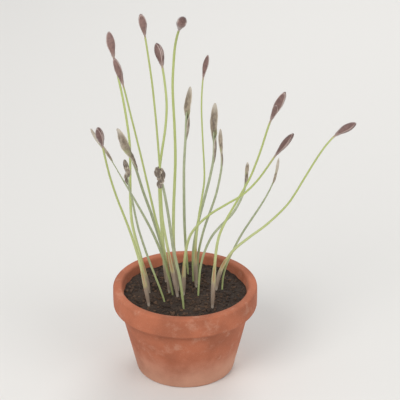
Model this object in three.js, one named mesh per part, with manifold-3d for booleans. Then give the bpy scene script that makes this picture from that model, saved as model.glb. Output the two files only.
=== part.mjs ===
// Potted cotton grass: fresh and faded flower culms standing in the soil of a plain clay pot.
// Millimetres, +Z up, with the origin in the middle of the pot's underside.

import * as THREE from "three";
import { mergeVertices } from "three/addons/utils/BufferGeometryUtils.js";
import Module from "manifold-3d";

const manifold = await Module();
manifold.setup();

// Clearances
const GAP = 0.3;
const HOLE_GAP = 0.4;

// Pot
const POT_HEIGHT = 84;
const RIM_RADIUS = 66;
const RIM_HEIGHT = 20;
const RIM_EASE = 2;
const SHOULDER_RADIUS = 60;
const FOOT_RADIUS = 45;
const FOOT_EASE = 1.5;
const POT_WALL = 6.5;
const POT_FLOOR = 8;
const ROUND_SIDES = 36;
const DRAIN_HOLES = 3;
const DRAIN_RADIUS = 5;
const DRAIN_RING = 24;
const DRAIN_SIDES = 12;
const FIRST_DRAIN = 0.25;

// Soil. Its surface is two crossed waves, and SOIL_RINGS are shares of its radius.
const SOIL_LEVEL = 76;
const SOIL_RELIEF = 1.1;
const BROAD_WAVE = 0.12;
const BROAD_WAVE_START = 1;
const FINE_WAVE = 0.25;
const FINE_WAVE_SHARE = 0.5;
const LEVEL_EDGE_POWER = 6;
const SOIL_RINGS = [1, 0.84, 0.67, 0.5, 0.33, 0.16, 0];

// Culms
const CULM_SIDES = 7;
const RINGS_PER_SPAN = 2;
const LEAST_STEP = 5;
const BURIED = 22;
const HOLE_HEADROOM = 6;
const LEAN_POWER = 1.6;
const NOD_START = 0.85;

// Radii of a fresh culm: thin inside its sheath, stout above the mouth, then tapering. Above the
// mouth they are for a culm of girth 1.
const FRESH_POINT_RADIUS = 0.6;
const FRESH_FOOT_RADIUS = 0.95;
const FRESH_MOUTH_RADIUS = 1.15;
const FRESH_STOUT_RADIUS = 1.45;
const FRESH_UPPER_RADIUS = 1.15;
const FRESH_NECK_RADIUS = 1.05;
const FLARE_BELOW_MOUTH = 12;
const STOUT_ABOVE_MOUTH = 8;
const UPPER_SHARE = 0.65;
const POINT_HEIGHT = 12;

// Radii of a faded culm, which is pointed at its foot
const FADED_POINT_RADIUS = 0.5;
const FADED_FOOT_RADIUS = 0.75;
const FADED_LOW_SHARE = 0.84;
const FADED_LOW_HEIGHT = 60;
const FADED_NECK_SHARE = 0.85;

// Sheaths
const SHEATH_WALL = 0.65;
const SHEATH_SPANS = 3;
const MOUTH_SLANT = 2.2;

// Peg of a culm's tip in its head
const PEG_LENGTH = 4;
const PEG_RADIUS = 0.6;

// Spikelets: a spindle wrapped in tiers of pointed scales. Shares are of the spindle's length, and
// the girth is a share of the way from the neck's radius, or above the widest place from nothing.
const SPIKELET_SIDES = 12;
const SPIKELET_NECK = 1.45;
const SPIKELET_TIP = 0.35;
const WIDEST_SHARE = 0.66;
const SPIKELET_GIRTH = [
  [0, 0], [0.12, 0.1], [0.3, 0.42], [0.5, 0.86], [WIDEST_SHARE, 1], [0.8, 0.88], [0.92, 0.5], [1, 0.12],
];
const SCALE_TIERS = 4;
const SCALES_PER_TIER = 3;
const FIRST_TIER = 0.24;
const TIER_STEP = 0.19;
const SCALE_POINT = 0.075;
const SCALE_LIFT = 0.45;

// Withered heads: a flat ribbon with half a twist, a bract beside it at its foot and, on some,
// shrivelled lobes. The first number of each pair is a share of the head's length. Widths are
// shares of the head's half width.
const COLLAR_RADIUS = 1.4;
const RIBBON_EDGE = 0.32;
const RIBBON_RINGS = [0, 0.1, 0.2, 0.29, 0.37, 0.45, 0.54, 0.68, 0.82, 0.92, 1];
const RIBBON_WIDTH = [[0.2, 0], [0.42, 0.75], [0.62, 1], [0.78, 0.92], [0.9, 0.55], [1, 0.15]];
const RIBBON_THICKNESS = [[0, 1.3], [0.12, 1.2], [0.28, 0.6], [1, 0.35]];
const RIBBON_CUP = [[0.2, 0], [0.4, 0.3], [0.75, 0.5], [1, 0]];
const TWIST_START = 0.2;
const TWIST_END = 0.55;
const BRACT_RINGS = [0.04, 0.12, 0.22, 0.32, 0.4, 0.48];
const BRACT_WIDTH = [[0.04, 0.3], [0.14, 0.55], [0.25, 0.6], [0.38, 0.5], [0.48, 0.2]];
const BRACT_THICKNESS = 0.5;
const BRACT_CUP = 0.2;
const BRACT_OFFSET = 1.1;
const BRACT_SPREAD = 0.35;
const LOBE_SIDES = 7;
const LOBE_RINGS = [0.04, 0.25, 0.5, 0.75, 0.96];

// The tuft is laid out from one viewpoint, in front and a little above. VIEW_AIM is where the
// middle of that view passes, across and up, from the middle of the soil.
const VIEW_TILT = THREE.MathUtils.degToRad(25);
const VIEW_DISTANCE = 1500;
const VIEW_AIM = [13.6, 112];

// Each culm's line from the soil to the tip of its head, as [across, up] in that view. The head
// takes the last headSpans of the line. tipDepth is how far behind the pot's middle the tip is,
// and nod is how far the tip bends towards the front. sheath is the height of the sheath's mouth,
// and girth is a share of the radii above it.
const FRESH_CULMS = [
  {
    line: [
      [-33, -1], [-41, 32], [-49, 64], [-50.5, 100],
      [-51, 136], [-57, 176], [-65.5, 214.5], [-70, 238.5],
    ],
    tipDepth: 40, sheath: 32, girth: 0.93, headWidth: 8,
  },
  {
    line: [
      [-14.5, -1], [-18, 32], [-26.5, 64], [-34, 96],
      [-41.5, 128], [-49.5, 160], [-57, 189.5], [-65.5, 214.5],
    ],
    tipDepth: -34, sheath: 34, girth: 0.76, headWidth: 6,
  },
  {
    line: [
      [-7, -5], [-14, 29.5], [-21, 68], [-23, 108],
      [-26, 148], [-30.5, 192], [-37, 235], [-41, 254.5],
    ],
    tipDepth: -52, sheath: 48, girth: 0.78, headWidth: 7.6,
  },
  {
    line: [
      [-17.5, 9], [-20, 40], [-23, 78.5], [-23.5, 112],
      [-19, 144], [-17, 172], [-21, 206.5], [-26.5, 228],
    ],
    tipDepth: 88, sheath: 32, girth: 1, headWidth: 8.6,
  },
  {
    line: [
      [-6.5, 1.5], [-10.5, 40], [-10.5, 80], [-9, 120], [-10, 156],
      [-11.5, 188], [-9.5, 223], [-5.5, 240.5], [-1.5, 250.5],
    ],
    tipDepth: 16, sheath: 46, girth: 1.02, headWidth: 8, nod: 36,
  },
  {
    line: [
      [10, 4], [9.5, 40], [13, 72], [17.5, 101.5],
      [16.5, 132], [15, 168], [16.5, 196], [21, 217],
    ],
    tipDepth: 34, sheath: 40, girth: 0.66, headWidth: 5.4,
  },
  {
    line: [
      [25, -15], [27, 22.5], [31.5, 52], [45, 78.5],
      [60, 105.5], [70.5, 133], [78.5, 157], [92, 183],
    ],
    tipDepth: -88, sheath: 48, girth: 0.82, headWidth: 7.2,
  },
  {
    line: [
      [-1.5, -3], [-0.5, 28], [5.5, 53], [24.5, 72],
      [51.5, 88], [68, 104], [83, 125], [99.5, 145],
    ],
    tipDepth: -50, sheath: 36, girth: 0.82, headWidth: 6.6,
  },
  {
    line: [
      [28.5, 1.5], [33, 20], [46.5, 40], [73, 60], [94, 80],
      [108, 101.5], [123, 125.5], [137.5, 143], [157, 154.5],
    ],
    tipDepth: 22, sheath: 34, girth: 0.8, headWidth: 7.2,
  },
  {
    line: [[-33.5, -13], [-41, 24], [-51, 56], [-61, 81.5], [-69, 105], [-76, 133.5], [-80, 150.5]],
    tipDepth: -80, sheath: 40, girth: 0.83, headWidth: 7.2,
  },
];

// The same for the faded culms, which have no sheath and a radius of their own, and neckShare of
// it at their neck. lobes are the shrivelled lobes of a head: the shares of its length where each
// starts and ends, how far right and back its middle lies, and its radius.
const FADED_CULMS = [
  {
    line: [
      [-11.5, -3], [-18, 24], [-29, 52], [-44, 80],
      [-57.5, 103], [-69, 122.5], [-78.5, 136], [-87, 149.5],
    ],
    tipDepth: -26, radius: 1.2, neckShare: 0.55, headWidth: 3, headSpans: 2,
  },
  {
    line: [[-14, 5.5], [-20, 35], [-29.5, 66.5], [-39, 93], [-46, 114.5], [-54, 132], [-61, 150]],
    tipDepth: -14, radius: 1.3, headWidth: 6.8, headSpans: 2,
  },
  {
    line: [[-19, -10], [-31.5, 24], [-42.5, 56], [-49, 85.5], [-52.5, 101], [-55.5, 121.5]],
    tipDepth: -62, radius: 1, headWidth: 4, headSpans: 1,
    lobes: [[0.46, 1, -0.5, 0, 2.1], [0.22, 0.7, 1.5, -0.5, 1.8], [0.02, 0.42, -0.9, 0.5, 1.9]],
  },
  {
    line: [[-1.5, -15], [-5, 12], [-11, 40], [-15, 67], [-19.5, 92], [-25, 115]],
    tipDepth: -78, radius: 1.35, headWidth: 5, headSpans: 1,
    lobes: [
      [0.54, 1, -1.2, -0.3, 2.9], [0.46, 0.9, 2.4, 0.3, 2.2],
      [0.26, 0.72, -0.5, 0.3, 2.7], [0.1, 0.46, -3, -0.3, 2.4],
    ],
  },
  {
    line: [[2.5, 16], [0, 48], [-1, 80], [-1, 116], [0.5, 144], [1.5, 168], [5, 188]],
    tipDepth: 78, radius: 1.3, headWidth: 6, headSpans: 2,
  },
  {
    line: [[7.5, 9.5], [7.5, 38.5], [13, 68], [20.5, 96], [26, 122.5], [26, 149], [28, 173]],
    tipDepth: 62, radius: 1.3, headWidth: 6.2, headSpans: 2,
  },
  {
    line: [[11, 7], [12.5, 37], [19.5, 64], [28, 88], [33.5, 116], [32, 136], [32, 149.5]],
    tipDepth: 2, radius: 1.1, headWidth: 3.6, headSpans: 2,
  },
  {
    line: [[12, -4], [15, 27], [25.5, 52], [43.5, 71.5], [53, 89], [55.5, 101.5], [57, 119]],
    tipDepth: 16, radius: 1.1, headWidth: 3, headSpans: 1,
  },
  {
    line: [[34, 2.5], [37, 21.5], [51, 51], [70, 80], [81, 101], [85.5, 123]],
    tipDepth: 62, radius: 1, neckShare: 0.75, headWidth: 3, headSpans: 1,
  },
];

// Materials
const CLAY = finish("#b5694a", 0.85);
const EARTH = finish("#3b2c20", 0.95);
const FRESH_GREEN = finish("#a9b077", 0.5);
const SHEATH_TAN = finish("#a09678", 0.6);
const SPIKELET_MAUVE = finish("#91736c", 0.6);
const FADED_GREEN = finish("#979e80", 0.6);
const PAPERY_BROWN = finish("#a09382", 0.8);

// Directions of the view
const TO_THE_RIGHT = new THREE.Vector3(1, 0, 0);
const UP_THE_VIEW = new THREE.Vector3(0, Math.sin(VIEW_TILT), Math.cos(VIEW_TILT));
const INTO_THE_VIEW = new THREE.Vector3(0, Math.cos(VIEW_TILT), -Math.sin(VIEW_TILT));
const VIEWPOINT = seenAt(...VIEW_AIM).addScaledVector(INTO_THE_VIEW, -VIEW_DISTANCE);

const plant = new THREE.Group();

// Solids and meshes

function finish(color, roughness) {
  return new THREE.MeshStandardMaterial({ color, roughness, metalness: 0 });
}

function solidOf(geometry) {
  const bare = geometry.clone();
  bare.deleteAttribute("normal");
  bare.deleteAttribute("uv");
  const merged = mergeVertices(bare);
  const mesh = new manifold.Mesh({
    numProp: 3,
    vertProperties: new Float32Array(merged.attributes.position.array),
    triVerts: new Uint32Array(merged.index.array),
  });
  return new manifold.Manifold(mesh);
}

function addPiece(name, solid, material) {
  const mesh = solid.getMesh();
  const geometry = new THREE.BufferGeometry();
  geometry.setAttribute("position", new THREE.BufferAttribute(mesh.vertProperties, 3));
  geometry.setIndex(new THREE.BufferAttribute(mesh.triVerts, 1));
  geometry.computeVertexNormals();
  const piece = new THREE.Mesh(geometry, material);
  piece.name = name;
  plant.add(piece);
}

// Skins a run of rings, each the same number of points round the same way, into a solid. The
// ends are closed flat, or joined to each other where the run is a loop.
function skin(rings, loop = false) {
  const sides = rings[0].length;
  const spans = loop ? rings.length : rings.length - 1;
  const triangles = [];
  for (let span = 0; span < spans; span += 1) {
    const below = span * sides;
    const above = ((span + 1) % rings.length) * sides;
    for (let side = 0; side < sides; side += 1) {
      const next = (side + 1) % sides;
      triangles.push(below + side, below + next, above + next);
      triangles.push(below + side, above + next, above + side);
    }
  }
  if (!loop) {
    const last = (rings.length - 1) * sides;
    for (let side = 1; side < sides - 1; side += 1) {
      triangles.push(0, side + 1, side);
      triangles.push(last, last + side, last + side + 1);
    }
  }
  const geometry = new THREE.BufferGeometry().setFromPoints(rings.flat());
  geometry.setIndex(triangles);
  return solidOf(geometry);
}

// Value at x on the line through a list of [x, value] pairs, held level past its ends.
function along(pairs, x) {
  const next = pairs.findIndex(([position]) => position > x);
  if (next === -1) {
    return pairs[pairs.length - 1][1];
  }
  if (next === 0) {
    return pairs[0][1];
  }
  const [lowX, low] = pairs[next - 1];
  const [highX, high] = pairs[next];
  return THREE.MathUtils.mapLinear(x, lowX, highX, low, high);
}

// Lines of the culms

function seenAt(across, up) {
  return new THREE.Vector3(0, 0, SOIL_LEVEL)
    .addScaledVector(TO_THE_RIGHT, across)
    .addScaledVector(UP_THE_VIEW, up);
}

// Moves a point along its line of sight until its coordinate on the axis has the wanted value.
function slideTo(seen, axis, value) {
  const share = (value - VIEWPOINT[axis]) / (seen[axis] - VIEWPOINT[axis]);
  return VIEWPOINT.clone().lerp(seen, share);
}

// A culm starts at its foot on the soil and leans front or back more the higher it climbs, up to
// tipDepth. Below the foot it goes straight down into the soil.
function culmCurve({ line, tipDepth, nod = 0 }) {
  const foot = slideTo(seenAt(...line[0]), "z", SOIL_LEVEL);
  const lowest = line[0][1];
  const highest = line[line.length - 1][1];
  const points = line.slice(1).map(([across, up]) => {
    const climb = (up - lowest) / (highest - lowest);
    const bend = Math.max(0, (climb - NOD_START) / (1 - NOD_START)) ** 2;
    const depth = foot.y + (tipDepth - foot.y) * climb ** LEAN_POWER - nod * bend;
    return slideTo(seenAt(across, up), "y", depth);
  });
  const root = foot.clone().setZ(SOIL_LEVEL - BURIED);
  return new THREE.CatmullRomCurve3([root, foot, ...points], false, "catmullrom");
}

// Centre, direction and the two cross directions of a curve at a distance from its start. side
// lies in the view and deep points away from it.
function frameAt(curve, distance) {
  const inside = THREE.MathUtils.clamp(distance, 0, curve.getLength());
  const share = curve.getUtoTmapping(0, inside);
  const forward = curve.getTangent(share);
  const centre = curve.getPoint(share).addScaledVector(forward, distance - inside);
  const side = new THREE.Vector3().crossVectors(INTO_THE_VIEW, forward).normalize();
  const deep = new THREE.Vector3().crossVectors(forward, side);
  return { centre, forward, side, deep };
}

function offsetPoint({ centre, side, deep }, right, back) {
  return centre.clone().addScaledVector(side, right).addScaledVector(deep, back);
}

function roundRing(curve, distance, radius, sides = CULM_SIDES, turn = 0) {
  const frame = frameAt(curve, distance);
  const ring = [];
  for (let corner = 0; corner < sides; corner += 1) {
    const angle = turn + (2 * Math.PI * corner) / sides;
    ring.push(offsetPoint(frame, radius * Math.cos(angle), radius * Math.sin(angle)));
  }
  return ring;
}

// Distances from the buried end at which a culm and the sheath round it have their rings.
function sheathStations(mouth) {
  const stations = [0.5 * BURIED, BURIED];
  for (let span = 1; span <= SHEATH_SPANS; span += 1) {
    stations.push(THREE.MathUtils.lerp(BURIED, mouth, span / SHEATH_SPANS));
  }
  return stations;
}

// What the pieces of one culm share: its curve, its length to the neck and to the tip of the
// head, where its sheath ends, and the distances of its rings.
function layOut(culm) {
  const curve = culmCurve(culm);
  const spans = culm.line.length;
  const lengths = curve.getLengths(RINGS_PER_SPAN * spans);
  const neck = lengths[RINGS_PER_SPAN * (spans - (culm.headSpans ?? 1))];
  const mouth = BURIED + (culm.sheath ?? 0);
  const low = culm.sheath
    ? [0, ...sheathStations(mouth), mouth + STOUT_ABOVE_MOUTH]
    : [0, 0.5 * BURIED, BURIED, BURIED + POINT_HEIGHT];
  const lowest = low[low.length - 1] + LEAST_STEP;
  const high = lengths.filter((length) => length > lowest && length < neck - LEAST_STEP);
  return { ...culm, curve, neck, reach: curve.getLength(), mouth, stations: [...low, ...high, neck - GAP] };
}

// Culms and sheaths

function freshRadius({ neck, mouth, girth }, distance) {
  return along([
    [BURIED, FRESH_POINT_RADIUS],
    [BURIED + POINT_HEIGHT, FRESH_FOOT_RADIUS],
    [mouth - FLARE_BELOW_MOUTH, FRESH_FOOT_RADIUS],
    [mouth, FRESH_MOUTH_RADIUS],
    [mouth + STOUT_ABOVE_MOUTH, FRESH_STOUT_RADIUS * Math.sqrt(girth)],
    [UPPER_SHARE * neck, FRESH_UPPER_RADIUS * girth],
    [neck, FRESH_NECK_RADIUS * girth],
  ], distance);
}

function fadedRadius({ neck, radius, neckShare = FADED_NECK_SHARE }, distance) {
  return along([
    [0, FADED_POINT_RADIUS],
    [BURIED, FADED_FOOT_RADIUS],
    [BURIED + POINT_HEIGHT, FADED_LOW_SHARE * radius],
    [BURIED + FADED_LOW_HEIGHT, radius],
    [neck, neckShare * radius],
  ], distance);
}

// A tapered stem, with a thinner peg on its tip for the head.
function culmSolid(culm, radiusAt) {
  const { curve, neck, stations } = culm;
  const rings = stations.map((distance) => roundRing(curve, distance, radiusAt(culm, distance)));
  rings.push(roundRing(curve, neck - GAP, PEG_RADIUS));
  rings.push(roundRing(curve, neck - GAP + PEG_LENGTH, PEG_RADIUS));
  return skin(rings);
}

function sheathRadius(culm, distance) {
  return freshRadius(culm, distance) + GAP + SHEATH_WALL;
}

// A tube round the foot of a culm, cut off at a slant at its mouth.
function sheathSolid(culm) {
  const { curve, mouth } = culm;
  const { forward } = frameAt(curve, mouth);
  const tubeRing = (distance, radius) => {
    const slant = distance === mouth ? MOUTH_SLANT : 0;
    return roundRing(curve, distance, radius).map((point, corner) => {
      const angle = (2 * Math.PI * corner) / CULM_SIDES;
      return point.addScaledVector(forward, slant * (Math.cos(angle) - 1));
    });
  };
  const stations = sheathStations(mouth);
  const outer = stations.map((distance) => tubeRing(distance, sheathRadius(culm, distance)));
  const inner = stations.map((distance) => tubeRing(distance, freshRadius(culm, distance) + GAP));
  return skin([...outer, ...inner.reverse()], true);
}

// Heads

// The hole in the foot of a head for its culm's peg.
function socketSolid({ curve, neck }) {
  const radius = PEG_RADIUS + GAP;
  return skin([
    roundRing(curve, neck - PEG_LENGTH, radius),
    roundRing(curve, neck, radius),
    roundRing(curve, neck + PEG_LENGTH, radius),
  ]);
}

// A ring round the spindle that runs up to a point on each scale of its tier.
function scaleRing({ curve, neck, reach }, { share, tier, turn, girth, lift }) {
  const ring = [];
  for (let corner = 0; corner < SPIKELET_SIDES; corner += 1) {
    const angle = (2 * Math.PI * corner) / SPIKELET_SIDES;
    const point = share + SCALE_POINT * Math.cos(SCALES_PER_TIER * angle + Math.PI * tier);
    const radius = girth(point) + lift;
    const frame = frameAt(curve, neck + point * (reach - neck));
    ring.push(offsetPoint(frame, radius * Math.cos(angle + turn), radius * Math.sin(angle + turn)));
  }
  return ring;
}

// Each tier of scales swells out from under the one below it and ends in a step.
function spikeletSolid(culm, turn) {
  const { curve, neck, reach, headWidth } = culm;
  const widest = 0.5 * headWidth - SCALE_LIFT;
  const girth = (share) => {
    const least = share < WIDEST_SHARE ? SPIKELET_NECK : 0;
    return least + (widest - least) * along(SPIKELET_GIRTH, share);
  };
  const rings = [roundRing(curve, neck, SPIKELET_NECK, SPIKELET_SIDES, turn)];
  for (let tier = 0; tier < SCALE_TIERS; tier += 1) {
    const edge = { share: FIRST_TIER + TIER_STEP * tier, tier, turn, girth };
    rings.push(scaleRing(culm, { ...edge, lift: SCALE_LIFT }));
    rings.push(scaleRing(culm, { ...edge, lift: 0 }));
  }
  rings.push(roundRing(curve, reach, SPIKELET_TIP, SPIKELET_SIDES, turn));
  return skin(rings).subtract(socketSolid(culm));
}

// A flat ring of a ribbon, set off to the right and turned by twist. Its edges are thinner than
// its middle and bend back by cup.
function ribbonRing(curve, distance, { halfWidth, halfThickness, cup, twist, offset }) {
  const outline = [
    [1, RIBBON_EDGE], [0, halfThickness], [-1, RIBBON_EDGE],
    [-1, -RIBBON_EDGE], [0, -halfThickness], [1, -RIBBON_EDGE],
  ];
  const frame = frameAt(curve, distance);
  return outline.map(([across, back]) => {
    const right = halfWidth * across;
    const deep = back + cup * Math.abs(across);
    return offsetPoint(
      frame,
      offset + right * Math.cos(twist) - deep * Math.sin(twist),
      right * Math.sin(twist) + deep * Math.cos(twist),
    );
  });
}

// A shrivelled lobe: a spindle beside the culm's line.
function lobeSolid({ curve, neck, reach }, [start, end, right, back, widest]) {
  return skin(LOBE_RINGS.map((climb) => {
    const share = THREE.MathUtils.lerp(start, end, climb);
    const radius = widest * Math.sqrt(Math.sin(Math.PI * climb));
    const frame = frameAt(curve, neck + share * (reach - neck));
    return Array.from({ length: LOBE_SIDES }, (_, corner) => {
      const angle = (2 * Math.PI * corner) / LOBE_SIDES;
      return offsetPoint(frame, right + radius * Math.cos(angle), back + radius * Math.sin(angle));
    });
  }));
}

// way is 1 or -1, for a twist to the right or to the left.
function witheredSolid(culm, way) {
  const { curve, neck, reach, headWidth } = culm;
  const widest = 0.5 * headWidth;
  const ribbon = RIBBON_RINGS.map((share) => {
    const stalk = share < TWIST_END ? COLLAR_RADIUS - share : 0;
    return ribbonRing(curve, neck + share * (reach - neck), {
      halfWidth: Math.max(along(RIBBON_WIDTH, share) * widest, stalk),
      halfThickness: along(RIBBON_THICKNESS, share),
      cup: along(RIBBON_CUP, share),
      twist: way * Math.PI * THREE.MathUtils.smoothstep(share, TWIST_START, TWIST_END),
      offset: 0,
    });
  });
  const bract = BRACT_RINGS.map((share) => ribbonRing(curve, neck + share * (reach - neck), {
    halfWidth: Math.max(along(BRACT_WIDTH, share) * widest, RIBBON_EDGE),
    halfThickness: BRACT_THICKNESS,
    cup: BRACT_CUP,
    twist: way * (share - TWIST_START),
    offset: BRACT_OFFSET + BRACT_SPREAD * widest,
  }));
  const sheet = skin(ribbon).add(skin(bract));
  const head = (culm.lobes ?? []).reduce((solid, lobe) => solid.add(lobeSolid(culm, lobe)), sheet);
  return head.subtract(socketSolid(culm));
}

// Pot and soil

function innerRadius(height) {
  const taper = (SHOULDER_RADIUS - FOOT_RADIUS) / (POT_HEIGHT - RIM_HEIGHT);
  return FOOT_RADIUS + taper * height - POT_WALL;
}

// A profile of [radius, height] pairs turned round the pot's axis.
function turned(profile) {
  const points = profile.map(([radius, height]) => new THREE.Vector2(radius, height));
  return new THREE.LatheGeometry(points, ROUND_SIDES).rotateX(0.5 * Math.PI);
}

function potSolid() {
  const rimFoot = POT_HEIGHT - RIM_HEIGHT;
  let pot = solidOf(turned([
    [0, 0],
    [FOOT_RADIUS - FOOT_EASE, 0],
    [FOOT_RADIUS, FOOT_EASE],
    [SHOULDER_RADIUS, rimFoot],
    [RIM_RADIUS - RIM_EASE, rimFoot],
    [RIM_RADIUS, rimFoot + RIM_EASE],
    [RIM_RADIUS, POT_HEIGHT - RIM_EASE],
    [RIM_RADIUS - RIM_EASE, POT_HEIGHT],
    [innerRadius(POT_HEIGHT) + RIM_EASE, POT_HEIGHT],
    [innerRadius(POT_HEIGHT - RIM_EASE), POT_HEIGHT - RIM_EASE],
    [innerRadius(POT_FLOOR), POT_FLOOR],
    [0, POT_FLOOR],
  ]));
  for (let hole = 0; hole < DRAIN_HOLES; hole += 1) {
    const angle = (2 * Math.PI * (hole + FIRST_DRAIN)) / DRAIN_HOLES;
    const drain = new THREE.CylinderGeometry(DRAIN_RADIUS, DRAIN_RADIUS, 3 * POT_FLOOR, DRAIN_SIDES);
    drain.rotateX(0.5 * Math.PI);
    drain.translate(DRAIN_RING * Math.cos(angle), DRAIN_RING * Math.sin(angle), 0);
    pot = pot.subtract(solidOf(drain));
  }
  return pot;
}

// A plain hole for a culm, or for the sheath round it.
function holeSolid(culm) {
  const radiusAt = culm.sheath ? sheathRadius : fadedRadius;
  const depths = [-GAP, 0.5 * BURIED, BURIED, BURIED + HOLE_HEADROOM];
  return skin(depths.map((distance) => (
    roundRing(culm.curve, distance, radiusAt(culm, distance) + HOLE_GAP)
  )));
}

// The soil's surface rises and falls gently, and is level where it meets the pot.
function soilSolid(culms) {
  const bottom = POT_FLOOR + GAP;
  const edge = innerRadius(SOIL_LEVEL) - GAP;
  const surface = SOIL_RINGS.map((share) => [share * edge, SOIL_LEVEL]);
  const body = turned([[0, bottom], [innerRadius(bottom) - GAP, bottom], ...surface]);
  const points = body.attributes.position;
  for (let index = 0; index < points.count; index += 1) {
    const x = points.getX(index);
    const y = points.getY(index);
    if (points.getZ(index) > SOIL_LEVEL - GAP) {
      const inward = 1 - (Math.hypot(x, y) / edge) ** LEVEL_EDGE_POWER;
      const broad = Math.sin(BROAD_WAVE * x + BROAD_WAVE_START) * Math.cos(BROAD_WAVE * y);
      const fine = FINE_WAVE_SHARE * Math.sin(FINE_WAVE * (x + y));
      points.setZ(index, SOIL_LEVEL + SOIL_RELIEF * inward * (broad + fine));
    }
  }
  return culms.reduce((soil, culm) => soil.subtract(holeSolid(culm)), solidOf(body));
}

// Assembly

const fresh = FRESH_CULMS.map(layOut);
const faded = FADED_CULMS.map(layOut);
const numbered = (index) => String(index + 1).padStart(2, "0");

addPiece("pot", potSolid(), CLAY);
addPiece("soil", soilSolid([...fresh, ...faded]), EARTH);
fresh.forEach((culm, index) => {
  addPiece(`fresh_culm_${numbered(index)}`, culmSolid(culm, freshRadius), FRESH_GREEN);
  addPiece(`sheath_${numbered(index)}`, sheathSolid(culm), SHEATH_TAN);
  addPiece(`spikelet_${numbered(index)}`, spikeletSolid(culm, index), SPIKELET_MAUVE);
});
faded.forEach((culm, index) => {
  const way = index % 2 === 0 ? 1 : -1;
  addPiece(`faded_culm_${numbered(index)}`, culmSolid(culm, fadedRadius), FADED_GREEN);
  addPiece(`withered_head_${numbered(index)}`, witheredSolid(culm, way), PAPERY_BROWN);
});

export default plant;
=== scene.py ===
import math

import bpy
import numpy as np
from bpy.props import FloatProperty, FloatVectorProperty, IntProperty, PointerProperty
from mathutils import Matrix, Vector


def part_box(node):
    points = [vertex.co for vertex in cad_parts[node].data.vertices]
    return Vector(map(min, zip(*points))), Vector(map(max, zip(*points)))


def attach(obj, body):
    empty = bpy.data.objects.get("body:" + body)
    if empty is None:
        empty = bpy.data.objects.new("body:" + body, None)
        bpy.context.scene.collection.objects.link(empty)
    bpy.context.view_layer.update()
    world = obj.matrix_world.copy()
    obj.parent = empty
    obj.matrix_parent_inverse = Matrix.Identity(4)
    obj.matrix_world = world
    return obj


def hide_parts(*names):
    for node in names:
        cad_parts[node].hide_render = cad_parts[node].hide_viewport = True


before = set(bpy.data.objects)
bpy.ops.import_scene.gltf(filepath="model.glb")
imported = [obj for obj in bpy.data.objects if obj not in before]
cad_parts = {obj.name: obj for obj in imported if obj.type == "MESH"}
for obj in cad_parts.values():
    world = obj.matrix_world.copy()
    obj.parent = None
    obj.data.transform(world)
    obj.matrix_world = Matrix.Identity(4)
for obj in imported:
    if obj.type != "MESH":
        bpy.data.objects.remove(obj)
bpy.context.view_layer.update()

bl_info = {
    "name": "Potted cotton grass",
    "version": (1, 0, 0),
    "blender": (4, 5, 0),
    "location": "3D View > Sidebar > Cotton grass",
    "description": "A clump of cotton grass in bud, in a clay pot, with its studio",
    "category": "Add Mesh",
}

# Lengths are in metres, and MM turns millimetres into them.
MM = 0.001
SEED = 7

SOIL_LEVEL = 76 * MM

# The photographed view: its tilt below the horizon, its distance, and the point across and up
# from the middle of the soil that it is centred on. The studio's camera looks lower, at the
# whole pot, from the same place.
VIEW_TILT = math.radians(25)
VIEW_DISTANCE = 1.5
VIEW_CENTRE = (13.6 * MM, 112 * MM)
UP_THE_VIEW = np.array([0, math.sin(VIEW_TILT), math.cos(VIEW_TILT)])
INTO_THE_VIEW = np.array([0, math.cos(VIEW_TILT), -math.sin(VIEW_TILT)])
TOWARDS_VIEWER = -0.5 * math.pi

# How near together the corners of one ring of a CAD culm lie, and those of a head's tip
RING_REACH = 3.4 * MM
TIP_REACH = 1.2 * MM

# Between which shares of a head its middle is measured, past which its width, and how far above
# its sheath a culm is stoutest
HEAD_MIDDLE = (0.55, 0.8)
WIDTH_FROM = 0.58
STOUT_ABOVE = 8 * MM

# Sides of a culm, and its radius as a share of the CAD culm's, so that its ribs stay within it
CULM_SIDES = 28
CULM_FILL = 0.97

# Height of one turning mark on the clay, how much a withered bract's colours are drawn out along
# Z, and how far the lattice noise that dents it runs from its middle to its edge
TURNING_STEP = 1.7 * MM
GRAIN = 0.5
DENT_SPAN = 3 * MM


# Sizes and colours that a user would change


def linear(code):
    """The linear colour of a six-digit code, by the sRGB curve."""
    shares = np.array([int(code[start:start + 2], 16) / 255 for start in (1, 3, 5)])
    bright = ((shares + 0.055) / 1.055) ** 2.4
    return tuple(float(share) for share in np.where(shares <= 0.04045, shares / 12.92, bright))


def tint(name, description, code):
    """A colour with its default."""
    return FloatVectorProperty(
        name=name, description=description, default=linear(code), subtype="COLOR", size=3, min=0, max=1,
    )


def length(name, description, millimetres):
    """A length with its default in millimetres."""
    return FloatProperty(
        name=name, description=description, default=millimetres * MM, unit="LENGTH", precision=5, min=0,
    )


class PotSettings(bpy.types.PropertyGroup):
    """Sizes and colours of the clay pot"""

    rim_height: length("Rim height", "Height of the band round the top of the pot", 20)
    wall: length("Wall", "Thickness of the pot's wall", 6.5)
    floor: length("Floor", "Thickness of the pot's floor", 8)
    shoulder_radius: length("Shoulder radius", "Outer radius just below the rim", 60)
    foot_radius: length("Foot radius", "Outer radius of the underside", 45)
    ease: length("Ease", "Rounding of the rim's edges", 2.4)
    drain_radius: length("Drain radius", "Radius of each drain hole", 5)
    clay: tint("Clay", "Colour of the fired clay", "#b5694a")
    bloom: tint("Bloom", "Colour of the chalky bloom on the clay", "#cfa48c")


class SoilSettings(bpy.types.PropertyGroup):
    """Sizes and colours of the potting soil"""

    crumbs: IntProperty(
        name="Crumbs", description="How many loose crumbs lie on top", default=900, min=0,
    )
    peat: tint("Peat", "Colour of damp soil", "#2c2119")
    dry: tint("Dry", "Colour of dry crumbs and bark", "#5f4735")


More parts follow.
